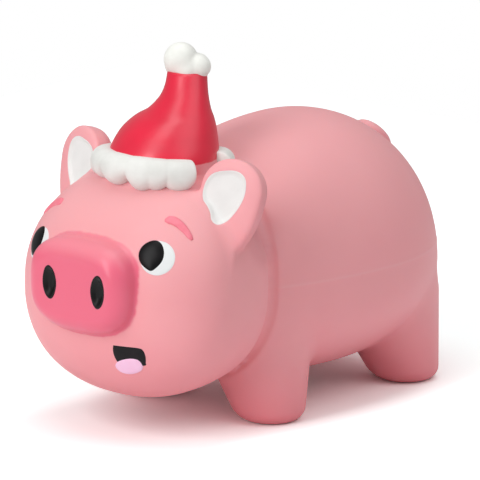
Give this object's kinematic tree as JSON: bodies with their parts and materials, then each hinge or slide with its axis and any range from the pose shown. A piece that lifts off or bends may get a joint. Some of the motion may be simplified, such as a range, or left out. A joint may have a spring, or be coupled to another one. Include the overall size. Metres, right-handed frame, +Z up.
{
  "type": "latex pig dog toy",
  "caption": "Hollow moulded latex pig toy for a dog, standing on stub legs in a soft peaked hat, with a squeaker plugged into its belly.",
  "frame": {"origin": "on the floor the toy stands on, under the middle of its length and width", "axes": "+Z up, the snout faces -Y, the pig's left side is +X"},
  "size_m": [0.0896, 0.165, 0.125],
  "materials": {
    "latex_pink": "soft matt natural latex",
    "snout_pink": "painted latex, satin",
    "brow_pink": "thin brushed paint on latex",
    "hat_red": "painted latex, semi-gloss",
    "trim_white": "painted latex, matt",
    "gloss_black": "gloss paint",
    "tongue_pink": "painted latex, satin",
    "squeaker_plastic": "plain moulded plastic"
  },
  "bodies": {
    "toy": {"torso": "latex_pink", "head": "latex_pink", "leg_front_left": "latex_pink", "leg_front_right": "latex_pink", "leg_rear_left": "latex_pink", "leg_rear_right": "latex_pink", "tail": "latex_pink", "ear_left": "latex_pink", "ear_right": "latex_pink", "snout": "snout_pink", "brow_left": "brow_pink", "brow_right": "brow_pink", "hat": "hat_red", "hat_trim": "trim_white", "hat_pompom": "trim_white", "ear_lining_left": "trim_white", "ear_lining_right": "trim_white", "eye_white_left": "trim_white", "eye_white_right": "trim_white", "pupil_left": "gloss_black", "pupil_right": "gloss_black", "nostril_left": "gloss_black", "nostril_right": "gloss_black", "mouth": "gloss_black", "tongue": "tongue_pink", "squeaker_housing": "squeaker_plastic", "squeaker_reed_seat": "squeaker_plastic", "squeaker_lid": "squeaker_plastic"},
    "reed": {"squeaker_reed": "squeaker_plastic"}
  },
  "joints": [
    {"name": "reed_flex", "type": "hinge", "parent": "toy", "child": "reed", "pos_m": [0, 0.0217, 0.01184], "axis": [1, 0, 0], "range_deg": [-3, 8], "stiffness_Nm_per_rad": 0.0001}
  ]
}
